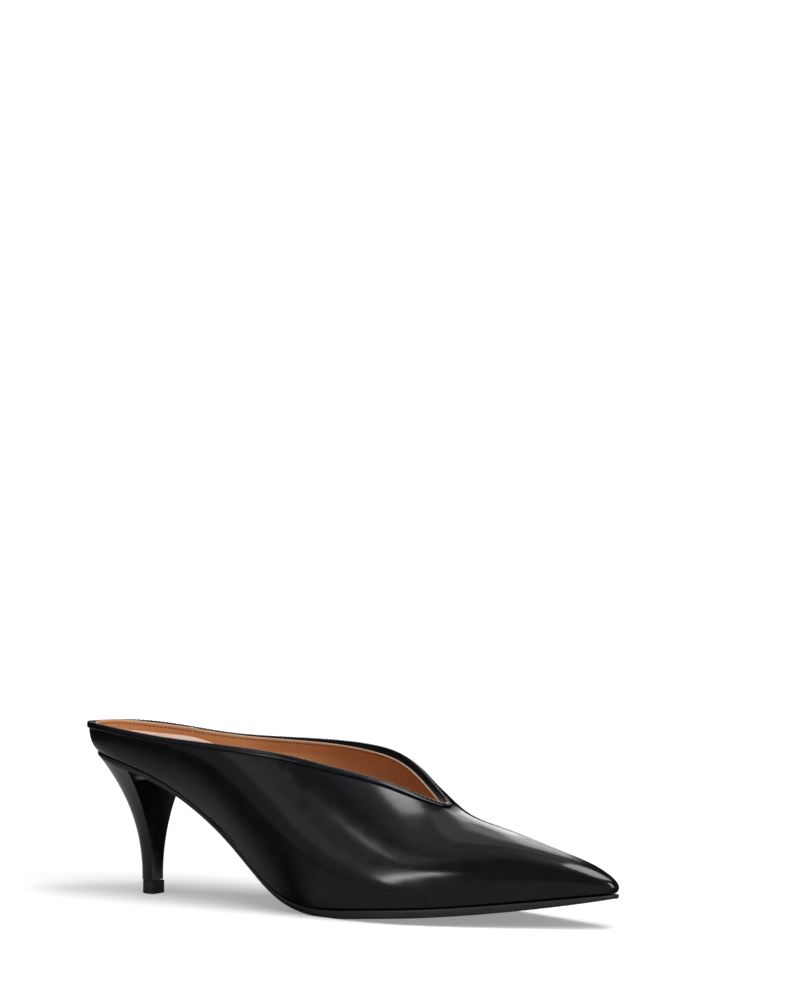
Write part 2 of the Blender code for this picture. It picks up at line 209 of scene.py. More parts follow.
def unit(vectors):
    return vectors / np.linalg.norm(vectors, axis=-1, keepdims=True)


def outward(side, share, t):
    """Outward normals of the last's surface."""
    low, high = np.maximum(share - SLOPE_STEP, 0.0), np.minimum(share + SLOPE_STEP, 1.0)
    along = bezier(section(side, high), t) - bezier(section(side, low), t)
    along[share < SLOPE_STEP] = (0.0, SIDES[side], 0.0)
    along[share > 1.0 - SLOPE_STEP] = (0.0, -SIDES[side], 0.0)
    out = np.cross(along, climb(section(side, share), t)) * -SIDES[side]
    out[..., 1] = np.where(t == 1.0, 0.0, out[..., 1])
    return unit(out)


def on_last(side, share, t, depth):
    """Points this deep inside the upper's outside."""
    return bezier(section(side, share), t) - depth * outward(side, share, t)


def crossing(value_at, target, low, high):
    """Where each rising function passes its target."""
    low, high = low + 0.0 * target, high + 0.0 * target
    for _ in range(HALVINGS):
        middle = (low + high) / 2
        under = value_at(middle) < target
        low, high = np.where(under, middle, low), np.where(under, high, middle)
    return (low + high) / 2


def feather_level(x, y):
    """Height of the plane between upper and sole, dipping a little across the middle."""
    share = reach(x, *LINE_ENDS["feather"])
    width = np.where(y < 0, last["lateral_feather"](share), last["medial_feather"](share))
    out = np.minimum(1.0, np.abs(y) / np.maximum(width, NARROWEST))
    return last["feather_z"](share) - crown(share) * (1.0 - out * out)


def foot_of_wall(side, share, depth):
    """The foot of the wall, this deep inside it, level with the feather plane."""
    out = outward(side, share, np.zeros((len(share), 1)))[:, 0]
    out[:, 2] = 0.0
    points = bezier(section(side, share), np.zeros((len(share), 1)))[:, 0] - depth * unit(out)
    points[:, 2] = feather_level(points[:, 0], points[:, 1])
    return points


def place_mm(points):
    """Millimetres in the shoe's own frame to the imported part's metres."""
    return (np.asarray(points) - SHOE_MIDDLE) * 0.001


def added(name, data):
    """A new object in the scene."""
    thing = bpy.data.objects.new(name, data)
    bpy.context.scene.collection.objects.link(thing)
    return thing


def piece_from_grids(name, grids, material, replaced=None, marks=None, sharp=50.0):
    """A closed, smooth-shaded piece from grids of points, joined where their edges meet.

    marks holds, for an attribute's name, one array of values for each grid.
    """
    mesh = bmesh.new()
    layers = {mark: mesh.verts.layers.float.new(mark) for mark in (marks or {})}
    for g, grid in enumerate(grids):
        points = place_mm(grid)
        rows, columns = points.shape[:2]
        verts = [mesh.verts.new(p) for p in points.reshape(-1, 3)]
        for mark, layer in layers.items():
            for vert, value in zip(verts, np.ravel(marks[mark][g])):
                vert[layer] = value
        for i in range(rows - 1):
            for j in range(columns - 1):
                a = i * columns + j
                mesh.faces.new((verts[a], verts[a + 1], verts[a + columns + 1], verts[a + columns]))
    bmesh.ops.remove_doubles(mesh, verts=mesh.verts, dist=SEAM)
    bmesh.ops.dissolve_degenerate(mesh, edges=mesh.edges, dist=SLIVER)
    bmesh.ops.recalc_face_normals(mesh, faces=mesh.faces)
    if mesh.calc_volume(signed=True) < 0.0:
        bmesh.ops.reverse_faces(mesh, faces=mesh.faces)
    data = bpy.data.meshes.new(name)
    mesh.to_mesh(data)
    mesh.free()
    data.shade_smooth()
    data.set_sharp_from_angle(angle=radians(sharp))
    return finish_piece(added(name, data), material, replaced)


def finish_piece(piece, material, replaced=None):
    """Material and body of a piece that is otherwise done, and hides the imported part it replaces."""
    piece.data.materials.clear()
    piece.data.materials.append(material)
    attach(piece, "root")
    if replaced:
        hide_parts(replaced)
    return piece


def even(strips):
    """Shares from 0 to 1, evenly spaced."""
    return np.linspace(0.0, 1.0, strips + 1)


def across(left, right, spread, lift=None):
    """A grid from one side's row of points to the other's, at these shares of the way.

    lift gives the height to add, from how far each column lies from the middle: -1 to 1.
    """
    grid = left[:, None] + (right - left)[:, None] * spread[None, :, None]
    if lift is not None:
        grid[..., 2] += lift(2.0 * spread - 1.0)
    return grid


def new_group(name, inputs, outputs):
    """An empty shader node group with named value inputs and outputs."""
    group = bpy.data.node_groups.new(name, "ShaderNodeTree")
    for socket, value in inputs.items():
        made = group.interface.new_socket(socket, in_out="INPUT", socket_type="NodeSocketFloat")
        made.default_value = value
    for socket in outputs:
        group.interface.new_socket(socket, in_out="OUTPUT", socket_type="NodeSocketFloat")
    return group


def feed(made, inputs):
    """Sets a node's inputs to a value, or links them to a socket."""
    for socket, value in inputs.items():
        if isinstance(value, bpy.types.NodeSocket):
            made.id_data.links.new(value, made.inputs[socket])
        else:
            made.inputs[socket].default_value = value


def node(tree, kind, inputs=None, **settings):
    """A new node with its settings and its inputs."""
    made = tree.nodes.new(kind)
    for setting, value in settings.items():
        setattr(made, setting, value)
    feed(made, inputs or {})
    return made


def maths(tree, operation, *values):
    """One step of arithmetic, as a socket."""
    return node(tree, "ShaderNodeMath", dict(enumerate(values)), operation=operation).outputs[0]


def colour_mix(tree, factor, first, second):
    """From the first colour to the second, as a socket."""
    return node(tree, "ShaderNodeMix", {"Factor": factor, 6: first, 7: second}, data_type="RGBA").outputs[2]


def new_material(name):
    """A material, its node tree and its shader."""
    material = bpy.data.materials.new(name)
    material.use_nodes = True
    return material, material.node_tree, material.node_tree.nodes["Principled BSDF"]


# Fine leather grain: small rounded cells with soft low places, and a slow unevenness of the hide.
leather_grain = new_group("leather_grain", {"Cell size mm": 0.5, "Hide size mm": 9.0}, ("Grain", "Hide"))
grain_sizes = node(leather_grain, "NodeGroupInput")
grain_spot = node(leather_grain, "ShaderNodeTexCoord").outputs["Object"]
cells_scale = maths(leather_grain, "DIVIDE", 1000.0, grain_sizes.outputs["Cell size mm"])
hide_scale = maths(leather_grain, "DIVIDE", 1000.0, grain_sizes.outputs["Hide size mm"])
cells = node(leather_grain, "ShaderNodeTexVoronoi", {"Vector": grain_spot, "Scale": cells_scale},
             feature="SMOOTH_F1")
fine = node(leather_grain, "ShaderNodeTexNoise", {"Vector": grain_spot, "Scale": cells_scale, "Detail": 3.0})
hide = node(leather_grain, "ShaderNodeTexNoise", {
    "Vector": grain_spot, "Scale": hide_scale, "Detail": 4.0, "Roughness": 0.55,
})
grain_height = maths(leather_grain, "ADD", cells.outputs["Distance"], fine.outputs[0])
node(leather_grain, "NodeGroupOutput", {"Grain": grain_height, "Hide": hide.outputs[0]})
HIDE_SPREAD = (0.35, 0.65)      # between these values, the hide's noise goes from one look to the other


def leather(name, colours, roughness, grain_mm, grain_depth, hide_depth=0.0, specular=0.5, hide_mm=9.0):
    """A leather with its grain. colours and roughness are pairs, mixed by the hide's unevenness.

    The depths are those of the bumps, in millimetres.
    """
    material, tree, shader = new_material(name)
    grain = node(tree, "ShaderNodeGroup", node_tree=leather_grain)
    feed(grain, {"Cell size mm": grain_mm, "Hide size mm": hide_mm})
    spread = {"Value": grain.outputs["Hide"], "From Min": HIDE_SPREAD[0], "From Max": HIDE_SPREAD[1]}
    uneven = node(tree, "ShaderNodeMapRange", spread)
    tint = colour_mix(tree, uneven.outputs[0], *[(*colour, 1.0) for colour in colours])
    rough = node(tree, "ShaderNodeMapRange", {**spread, "To Min": roughness[0], "To Max": roughness[1]})
    bump = node(tree, "ShaderNodeBump", {"Height": grain.outputs["Grain"], "Distance": grain_depth * 0.001})
    if hide_depth:
        bump = node(tree, "ShaderNodeBump", {
            "Height": grain.outputs["Hide"], "Distance": hide_depth * 0.001, "Normal": bump.outputs[0],
        })
    feed(shader, {
        "Base Color": tint,
        "Roughness": rough.outputs[0],
        "Specular IOR Level": specular,
        "Normal": bump.outputs[0],
    })
    return material


sock_leather = leather("sock_leather", SOCK_TANS, roughness=(0.52, 0.60), grain_mm=0.45, grain_depth=0.03,
                       hide_mm=22.0)
board_fibre = leather("board_fibre", BOARD_BROWNS, roughness=(0.8, 0.9), grain_mm=0.6, grain_depth=0.08)

insole_share = even(INSOLE_STATIONS)
inner = WALL + GAP


def sock_rim(side, below=0.0):
    """Where the sock, or a layer this far below its top, meets the wall: the line, and its shares."""

    def wall_at(t):
        return on_last(side, insole_share, t[:, None], inner)[:, 0]

    level = last["feather_z"](insole_share) + sock_edge(insole_share) - below
    t = crossing(lambda t: wall_at(t)[:, 2], level, *SOCK_SEARCH)
    return wall_at(t), t


def dish(v):
    """How the padding sinks away from the edges."""
    return -SOCK_DISH * (1.0 - v * v)[None, :]


feet = {side: foot_of_wall(side, insole_share, inner) for side in SIDES}
board_rims = {side: sock_rim(side, SOCK_THICK + SOCK_GLUE) for side in SIDES}
board_top = across(board_rims["lateral"][0], board_rims["medial"][0], even(INSOLE_STRIPS), dish)
board_under = across(feet["lateral"], feet["medial"], even(INSOLE_STRIPS))
board_under[..., 2] = feather_level(board_under[..., 0], board_under[..., 1])
board_sides = []
for side in SIDES:
    wall = on_last(side, insole_share, board_rims[side][1][:, None] * even(BOARD_ROWS)[None, :], inner)
    wall[:, 0] = feet[side]
    board_sides.append(wall)
piece_from_grids("insole_board", [board_top, board_under, *board_sides], board_fibre, "insole")

# The sock: rounded at its edge, with a faint ridge just inside it where the glued edge is pressed down.
rims = {side: sock_rim(side)[0] for side in SIDES}
sock_width = np.linalg.norm(rims["medial"] - rims["lateral"], axis=1)


def sock_profile(v):
    """Height across the sock, by the real distance from its edge."""
    from_edge = (1.0 - np.abs(v))[None, :] * sock_width[:, None] / 2.0
    drop, round_width = SOCK_ROUNDING
    rise, ridge_in, ridge_width = SOCK_RIDGE
    rounded = -drop * np.exp(-(from_edge / round_width) ** 2)
    ridge = rise * np.exp(-((from_edge - ridge_in) / ridge_width) ** 2)
    return dish(v) + rounded + ridge


# Its columns stand closer together towards both edges.
sock_spread = (1.0 - np.cos(pi * even(INSOLE_STRIPS * 2))) / 2.0
sock_top = across(rims["lateral"], rims["medial"], sock_spread, sock_profile)
sock_bed = across(board_rims["lateral"][0], board_rims["medial"][0], sock_spread, dish)
sock_under = sock_top.copy()
sock_under[..., 2] = sock_bed[..., 2] + SOCK_GLUE
sock_sides = [np.stack([sock_top[:, j], sock_under[:, j]], 1) for j in (0, -1)]
piece_from_grids("sock", [sock_top, sock_under, *sock_sides], sock_leather, "insole", sharp=70.0)


# ---------------------------------------------------------------------------------------
# Upper. One piece of glossy black calf, stretched over the last, cut low round the heel and
# in a deep V over the instep, and turned under at the feather edge.

APEX_X = 173.0
COLLAR = [
    # x   lateral medial
    (0,    70.6, 70.6),
    (8,    71.0, 69.9),
    (25,   69.7, 67.9),
    (52,   67.0, 65.0),
    (85,   65.0, 64.2),
    (118,  60.7, 63.2),
    (150,  51.7, 57.2),
    (173,  44.8, 44.8),
]
THROAT = [
    # x   lateral medial half-width
    (100,  29.3, 30.9),
    (120,  23.9, 27.0),
    (148,  14.6, 16.0),
    (173,   0.0,  0.0),
]
THROAT_TAKES_OVER = (104.0, 138.0)
THROAT_SEARCH = (0.35, 1.0)     # between which shares of the section the throat's edge lies
UPPER_THICK = 1.25
TURN_UNDER = 0.8                # radius where the leather turns under at the feather edge
CALF_BLACKS = ((0.0055, 0.0055, 0.0062), (0.0068, 0.0068, 0.0078))
BACK_STATIONS = 230
FRONT_STATIONS = 130
UPPER_ROWS = 44
ROUNDING = 1e-9

collar = {side: column(COLLAR, i + 1, 1, 0) for i, side in enumerate(SIDES)}
throat = {side: column(THROAT, i + 1, 0, -1, APEX_X) for i, side in enumerate(SIDES)}


def smooth(ramp):
    ramp = np.clip(ramp, 0.0, 1.0)
    return ramp * ramp * (3.0 - 2.0 * ramp)


def edge_at(side, x):
    """How far up each section the leather is cut."""
    share = reach(x)
    here = section(side, share)
    by_height = crossing(lambda t: bezier(here, t[:, None])[:, 0, 2], collar[side](share), 0.0, 1.0)
    half_width = throat[side](reach(x, 0.0, APEX_X))
    by_width = crossing(lambda t: -np.abs(bezier(here, t[:, None])[:, 0, 1]), -half_width, *THROAT_SEARCH)
    first, final = THROAT_TAKES_OVER
    mix = smooth((x - first) / (final - first))
    t = by_height * (1.0 - mix) + by_width * mix
    return np.where(x >= APEX_X - ROUNDING, 1.0, t)


back_x = place(even(BACK_STATIONS), 0.0, APEX_X)
front_x = place(even(FRONT_STATIONS), APEX_X, LENGTH)
upper_x = np.concatenate([back_x, front_x[1:]])
upper_share = reach(upper_x)
# Rows stand closer together near the feather edge, where the leather turns under.
foot_rows = np.array([0.0, 0.002, 0.005, 0.009, 0.014, 0.021, 0.032])
upper_rows = np.concatenate([foot_rows, np.linspace(0.05, 1.0, UPPER_ROWS)])


def turned_under(points, outs):
    """Pulls the lowest rows inward round the feather edge."""
    height = points[..., 2] - points[:, :1, 2]
    under = np.clip(1.0 - height / TURN_UNDER, 0.0, 1.0)
    inset = TURN_UNDER * (1.0 - np.sqrt(1.0 - under**2))
    flat = outs.copy()
    flat[..., 2] = 0.0
    return points - inset[..., None] * unit(flat)


# The wall as it came off the last: soft swells and hollows of the lateral side. Nothing changes at
# the feather edge, the cut edge or the ridge.
SWELLS = [
    # x    up    reach along and up   proud
    (232, 0.50,  31, 0.34,  1.5),     # the toe box, full to the tip
    (166, 0.40,  18, 0.15,  0.8),     # over the little toe's joint
    (190, 0.42,  15, 0.13,  0.7),     # in front of the joint
    (209, 0.64,  13, 0.14,  1.4),     # the vamp's shoulder
    (185, 0.82,  12, 0.12, -0.45),    # a hollow beside the point of the throat
    (112, 0.38,  20, 0.16, -0.3),     # the waist, drawn in a little
]
SWELL_FADES = (0.16, 0.12)      # over how much of the section they die away, low and high
TIP_FADE = 20.0                 # and over how much of the toe's tip


def shaped(side, x, t):
    """How far the finished wall stands proud of the last."""
    proud = np.zeros(t.shape)
    if side == "lateral":
        for middle, height, along, up, value in SWELLS:
            near = np.exp(-(((x - middle) / along) ** 2) / 2.0)[:, None]
            proud += value * near * np.exp(-(((t - height) / up) ** 2) / 2.0)
        low_fade, high_fade = SWELL_FADES
        proud *= smooth(t / low_fade) * smooth((edge_at(side, x)[:, None] - t) / high_fade)
        proud *= smooth((LENGTH - x) / TIP_FADE)[:, None]
    return proud[..., None]


def wall_face(side, x, rows):
    """The finished wall's outside at these shares of the way up to its cut edge, and its normals."""
    t = edge_at(side, x)[:, None] * rows[None, :]
    out = outward(side, reach(x), t)
    return bezier(section(side, reach(x)), t) + shaped(side, x, t) * out, out


def thin_wall(one, other, stations):
    """The grids of a wall from its two faces, closed at the foot and along this much of the cut edge."""
    foot, cut = [np.stack([one[:, row], other[:, row]], 1) for row in (0, -1)]
    return [one, other, foot, cut[:stations]]


upper_grids = []
for side in SIDES:
    face, out = wall_face(side, upper_x, upper_rows)
    back = face - UPPER_THICK * out
    back[:, 0] = foot_of_wall(side, upper_share, UPPER_THICK)
    upper_grids += thin_wall(turned_under(face, out), back, len(back_x))

black_calf = leather("black_calf", CALF_BLACKS, roughness=(0.13, 0.16), grain_mm=0.35, grain_depth=0.003,
                     hide_depth=0.03, hide_mm=7.0)
piece_from_grids("upper_shell", upper_grids, black_calf, "upper", sharp=60.0)


# ---------------------------------------------------------------------------------------
# Lining. Tan leather glued inside the upper, cut raw along its top and laid over the turned-in
# binding; a second piece goes round the heel and laps over the front one, as a small step shows.

LINING_BACK = UPPER_THICK + 0.02    # how deep the lining's hidden face lies
LINING_TANS = ((0.53, 0.215, 0.078), (0.60, 0.255, 0.095))
RAW_COLOUR = (0.66, 0.47, 0.34)
LINING_ROWS = 25
LINING_JOINT_X = 30.0
LINING_LAP = 0.25               # how much thicker the lining is where the heel piece laps over it
LAP_STEP = 1.2                  # and over what length it thickens
# The margin laid over the binding, round its section: a raw pale edge, then its face tapering to the wall.
MARGIN = [
    # out    up    raw
    (-2.42, -1.00, 0.3),
    (-2.46,  0.78, 1.0),
    (-2.62,  0.95, 1.0),
    (-2.86,  0.95, 1.0),
    (-2.98,  0.82, 0.9),
    (-3.00,  0.30, 0.1),
    (-2.95, -0.80, 0.0),
    (-2.82, -2.20, 0.0),
    (-2.45, -4.00, 0.0),
    (-2.12, -5.80, 0.0),
    (-1.90, -6.20, 0.0),
    (-1.90, -3.50, 0.0),
]
MARGIN_LAP = (-0.3, 0.2)        # how far out and up the heel piece's margin lies from the front one's
LAP_BUMP = (-0.15, 0.25)        # how much further where the end of one goes over the other
LAP_AHEAD = 0.6                 # the margin's lap starts this far ahead of the joint
LAP_BUMP_WIDTH = 1.6
TOPLINE_STATIONS = 700
LOOP = 960

tan_leather = leather("tan_leather", LINING_TANS, roughness=(0.55, 0.65), grain_mm=0.5, grain_depth=0.02,
                      specular=0.2, hide_mm=16.0)

lining_x = np.concatenate([back_x[::2], front_x[2::2]])
lining_share = reach(lining_x)
lining_grids = []
for side in SIDES:
    face, out = wall_face(side, lining_x, even(LINING_ROWS))
    lap = LINING_LAP * smooth((LINING_JOINT_X - lining_x) / LAP_STEP)
    inner_face = face - (WALL + lap[:, None, None]) * out
    inner_face[:, 0] = foot_of_wall(side, lining_share, WALL)
    hidden_face = face - LINING_BACK * out
    hidden_face[:, 0] = foot_of_wall(side, lining_share, LINING_BACK)
    lining_grids += thin_wall(inner_face, hidden_face, len(back_x[::2]))
piece_from_grids("lining", lining_grids, tan_leather, "upper", sharp=60.0)


def topline(count):
    """The cut edge as one closed loop: points, outward normals and ups."""
    xs = place(even(count), 0.0, APEX_X)
    points, outs = [], []
    for side in SIDES:
        t = edge_at(side, xs)[:, None]
        ring = bezier(section(side, reach(xs)), t)[:, 0]
        out = outward(side, reach(xs), t)[:, 0]
        if side == "lateral":
            points.append(ring[:0:-1])
            outs.append(out[:0:-1])
        else:
            points.append(ring[:-1])
            outs.append(out[:-1])
    points, outs = np.concatenate(points), np.concatenate(outs)
    tangents = unit(np.roll(points, -1, axis=0) - np.roll(points, 1, axis=0))
    return points, outs, unit(np.cross(tangents, outs))


def even_loop(count):
    """The topline again, with points evenly spaced along its real length, first at the throat."""
    points, outs, ups = topline(TOPLINE_STATIONS)
    closed = np.concatenate([points, points[:1]])
    run = np.concatenate([[0.0], np.cumsum(np.linalg.norm(np.diff(closed, axis=0), axis=1))])
    at = np.linspace(0.0, run[-1], count, endpoint=False)

    def along(values):
        values = np.concatenate([values, values[:1]])
        return np.stack([np.interp(at, run, values[:, i]) for i in range(3)], -1)

    points, outs, ups = along(points), unit(along(outs)), along(ups)
    ups = unit(ups - np.sum(ups * outs, axis=1)[:, None] * outs)
    return points, outs, ups, at, run[-1]


loop_points, loop_outs, loop_ups, loop_run, loop_length = even_loop(LOOP)


def swept(profile, outs_extra, ups_extra):
    """A closed band round the topline. profile is (out, up) pairs; the extras move its points."""
    out = profile[None, :, 0] + outs_extra
    up = profile[None, :, 1] + ups_extra
    rings = loop_points[:, None] + out[..., None] * loop_outs[:, None] + up[..., None] * loop_ups[:, None]
    rings = np.concatenate([rings, rings[:, :1]], axis=1)
    return np.concatenate([rings, rings[:1]], axis=0)


margin = np.array(MARGIN)
lapped = smooth(LINING_JOINT_X + LAP_AHEAD - loop_points[:, 0])[:, None]
bump = np.exp(-((loop_points[:, 0] - LINING_JOINT_X) / LAP_BUMP_WIDTH) ** 2)[:, None]
lap_out, lap_up = [lap * lapped + more * bump for lap, more in zip(MARGIN_LAP, LAP_BUMP)]
margin_grid = swept(margin[:, :2], outs_extra=lap_out, ups_extra=lap_up)
raw_mark = np.repeat(np.append(margin[:, 2], margin[0, 2])[None, :], LOOP + 1, axis=0)


def edged_leather(name, base, edge_colour):
    """The same leather with a raw cut edge where the raw_edge attribute says so."""
    material = base.copy()
    material.name = name
    tree = material.node_tree
    shader = tree.nodes["Principled BSDF"]
    face_colour = shader.inputs["Base Color"].links[0].from_socket
    where = node(tree, "ShaderNodeAttribute", attribute_name="raw_edge").outputs["Fac"]
    feed(shader, {"Base Color": colour_mix(tree, where, face_colour, (*edge_colour, 1.0))})
    return material


lining_edge_leather = edged_leather("lining_edge_leather", tan_leather, RAW_COLOUR)
piece_from_grids("lining_margin", [margin_grid], lining_edge_leather, "upper",
                 marks={"raw_edge": [raw_mark]}, sharp=60.0)


# ---------------------------------------------------------------------------------------
# Collar binding. A strip of black leather sewn on face down, rolled over the cut edge and turned
# in; it puckers a little at each stitch, and its ends meet at the throat under a small bar tack.

STITCH_PITCH = 1.78
# Round the strip's section: up its outer face, over the roll and down the turned-in side.
BINDING = [
    # out   up
    (0.02, -0.95), (0.25, -1.15), (0.48, -1.18), (0.68, -1.06), (0.79, -0.8),
    (0.83, -0.4), (0.84, 0.1), (0.84, 0.6), (0.81, 0.98), (0.72, 1.24),
    (0.54, 1.40), (0.28, 1.45), (-0.1, 1.40), (-0.6, 1.28), (-1.2, 1.14),
    (-1.8, 1.01), (-2.25, 0.83), (-2.46, 0.5), (-2.5, 0.0), (-2.5, -0.8),
    (-2.45, -1.2), (-2.2, -1.3), (-2.0, -1.1), (-1.6, 0.1), (0.02, 0.1),
]
ROLL_CORNER = (0.55, 1.35)      # where on the section the thread draws the strip in
ROLL_FACE = 0.8                 # and how far out its outer face stands
ROLL_REACH = 0.3                # square of the reach of both
PUCKER = 0.2
PUCKER_POINT = 1.5
PUCKER_IN = 0.8                 # how far in each pucker goes, as a share of how far down
WAVE = 0.03
WAVES = ((5.0, 0.7), (8.6, 2.1))    # stitches to each slow wave, and where it starts
BINDING_BLACKS = ((0.0045, 0.0045, 0.005), (0.006, 0.006, 0.007))

binding = np.array(BINDING)
stitches = round(loop_length / STITCH_PITCH)
phase = 2.0 * pi * stitches * loop_run / loop_length
# The roll's corner is drawn in at each stitch; slower waves keep the strip from looking cast.
from_corner = (binding[:, 0] - ROLL_CORNER[0]) ** 2 + (binding[:, 1] - ROLL_CORNER[1]) ** 2
on_corner = np.exp(-from_corner / ROLL_REACH)
on_face = np.exp(-((binding[:, 0] - ROLL_FACE) ** 2) / ROLL_REACH)
pucker = PUCKER * ((1.0 + np.cos(phase)[:, None]) / 2.0) ** PUCKER_POINT * on_corner[None, :]
slow = sum(0.5 * np.sin(phase / count + start) for count, start in WAVES)[:, None]
drawn_in = WAVE * slow * on_face[None, :] - PUCKER_IN * pucker
binding_grid = swept(binding, outs_extra=drawn_in, ups_extra=-pucker)
binding_leather = leather("binding_leather", BINDING_BLACKS, roughness=(0.18, 0.24), grain_mm=0.4,
                          grain_depth=0.008, hide_depth=0.03, specular=0.35, hide_mm=3.0)
piece_from_grids("binding_roll", [binding_grid], binding_leather, "collar_binding",
                 sharp=60.0)


# ---------------------------------------------------------------------------------------
# Stitches. Brown thread along the lining's margin and black thread along the binding, its black
# lightened to grey as a painted sheen; each stitch a short rounded length pulled into the leather.

STITCH = (1.2, 0.22)            # length and radius
BINDING_STITCH = (1.1, 0.23)
TACK_STITCH = (0.8, 0.36)
LINING_ROW = (-3.02, -0.35)     # where the rows lie, out and up from the cut edge
BINDING_ROW = (0.5, 1.42)
TACK_X = 173.6
TACK_BOW = 0.6                  # how far back the tack's ends lie
TACK_HALF = 1.5
TACK_HEIGHT = 0.95
TACK_POINTS = 9
TACK_STITCHES = 6
TACK_SEARCH = (0.5, 1.0)
NEARLY = 0.9999                 # keeps a row's last stitch from falling off its end


def thread_row_tree():
    """Geometry Nodes: one short thread per pitch along a curve."""
    tree = bpy.data.node_groups.new("thread_row", "GeometryNodeTree")
    tree.interface.new_socket("Path", in_out="INPUT", socket_type="NodeSocketGeometry")
    for name in ("Pitch", "Stitch length", "Thread radius"):
        tree.interface.new_socket(name, in_out="INPUT", socket_type="NodeSocketFloat")
    tree.interface.new_socket("Thread", in_out="INPUT", socket_type="NodeSocketMaterial")
    tree.interface.new_socket("Stitches", in_out="OUTPUT", socket_type="NodeSocketGeometry")
    entry = node(tree, "NodeGroupInput")
    pitch, length, radius = [entry.outputs[name] for name in ("Pitch", "Stitch length", "Thread radius")]
    spaced = node(tree, "GeometryNodeResampleCurve", {"Curve": entry.outputs["Path"], "Length": pitch},
                  mode="LENGTH")
    bead = node(tree, "GeometryNodeMeshUVSphere", {"Segments": 8, "Rings": 7, "Radius": 1.0})
    half = maths(tree, "MULTIPLY", length, 0.5)
    size = node(tree, "ShaderNodeCombineXYZ", {"X": radius, "Y": radius, "Z": half})
    tangent = node(tree, "GeometryNodeInputTangent")
    turn = node(tree, "FunctionNodeAlignRotationToVector", {"Vector": tangent.outputs[0]}, axis="Z")
    placed = node(tree, "GeometryNodeInstanceOnPoints", {
        "Points": spaced.outputs[0],
        "Instance": bead.outputs[0],
        "Rotation": turn.outputs[0],
        "Scale": size.outputs[0],
    })
    real = node(tree, "GeometryNodeRealizeInstances", {"Geometry": placed.outputs[0]})
    coloured = node(tree, "GeometryNodeSetMaterial", {
        "Geometry": real.outputs[0], "Material": entry.outputs["Thread"],
    })
    node(tree, "NodeGroupOutput", {"Stitches": coloured.outputs[0]})
    return tree


thread_row = thread_row_tree()


def stitch_row(name, points, closed, count, stitch, material):
    """Lays this many stitches along points in the shoe's frame. stitch is a length and a radius."""
    ring = np.concatenate([points, points[:1]]) if closed else points
    pitch = np.linalg.norm(np.diff(ring, axis=0), axis=1).sum() / count * NEARLY
    curve = bpy.data.curves.new(name + "_path", "CURVE")
    curve.dimensions = "3D"
    spline = curve.splines.new("POLY")
    spline.points.add(len(points) - 1)
    for point, co in zip(spline.points, place_mm(points)):
        point.co = (*co, 1.0)
    spline.use_cyclic_u = closed
    path = added(name + "_path", curve)
    rows = path.modifiers.new("stitches", "NODES")
    rows.node_group = thread_row
    length, radius = stitch
    wanted = {
        "Pitch": pitch * 0.001,
        "Stitch length": length * 0.001,
        "Thread radius": radius * 0.001,
        "Thread": material,
    }
    for socket in thread_row.interface.items_tree:
        if socket.in_out == "INPUT" and socket.name in wanted:
            rows[socket.identifier] = wanted[socket.name]
    bpy.context.view_layer.update()
    stitched = path.evaluated_get(bpy.context.evaluated_depsgraph_get())
    data = bpy.data.meshes.new_from_object(stitched)
    bpy.data.objects.remove(path, do_unlink=True)
    data.name = name
    data.shade_smooth()
    return finish_piece(added(name, data), material)


def twisted_thread(name, colour, roughness):
    """A thread's fine slanting ridges."""
    material, tree, shader = new_material(name)
    spot = node(tree, "ShaderNodeTexCoord")
    twist = node(tree, "ShaderNodeTexWave", {
        "Vector": spot.outputs["Object"], "Scale": 900.0, "Distortion": 0.5,
    }, bands_direction="DIAGONAL")
    bump = node(tree, "ShaderNodeBump", {"Height": twist.outputs["Fac"], "Distance": 0.00004})
    feed(shader, {"Base Color": (*colour, 1.0), "Roughness": roughness, "Normal": bump.outputs[0]})
    return material


brown_thread = twisted_thread("brown_thread", (0.065, 0.024, 0.013), 0.6)
# Painted sheen: the binding's thread is black, but its colour is lightened to grey to stand in for the
# glints on its stitches.
black_thread_painted_sheen = twisted_thread("black_thread_painted_sheen", (0.18, 0.18, 0.185), 0.4)

out, up = LINING_ROW
lining_row = loop_points + (out + MARGIN_LAP[0] * lapped) * loop_outs + up * loop_ups
stitch_row("lining_stitches", lining_row, True, stitches, STITCH, brown_thread)
out, up = BINDING_ROW
binding_row = loop_points + out * loop_outs + up * loop_ups
stitch_row("binding_stitches", binding_row, True, stitches, BINDING_STITCH, black_thread_painted_sheen)

# The bar tack: a few heavy stitches across the point of the throat, over the end of the binding.
tack = []
for aside in np.linspace(-1.0, 1.0, TACK_POINTS):
    side = "medial" if aside > 0 else "lateral"
    share = reach(np.array([TACK_X - TACK_BOW * aside**2]))
    here = section(side, share)
    off_middle = np.array([TACK_HALF * abs(aside)])
    t = crossing(lambda t: -np.abs(bezier(here, t[:, None])[:, 0, 1]), -off_middle, *TACK_SEARCH)
    tack.append(on_last(side, share, t[:, None], -TACK_HEIGHT)[0, 0])
stitch_row("bar_tack", np.array(tack), False, TACK_STITCHES, TACK_STITCH, black_thread_painted_sheen)


# ---------------------------------------------------------------------------------------
# Outsole. A thin black sole the full length of the shoe, running under the seat as well, with
# toe spring, a bevelled and waxed edge, and a flat tread under the ball of the foot.

SOLE = [
    # x   thick  out
    (0,    2.0,  0.2),
    (30,   2.0,  0.2),
    (65,   1.7,  0.0),
    (98,   2.0,  0.0),
    (128,  3.1,  0.4),
    (165,  3.3,  0.6),
    (205,  3.1,  0.6),
    (232,  2.5,  0.5),
    (248,  1.5,  0.4),
]
SOLE_LIP = 1.2                  # how far the sole runs on past the toe
SOLE_END_WIDTH = 6.0            # the lip dies away where a side is narrower than this
SOLE_BEVEL = 0.35               # share of the edge that is bevelled
BEVEL_LEAN = 0.8                # how far in the bevel goes for its height
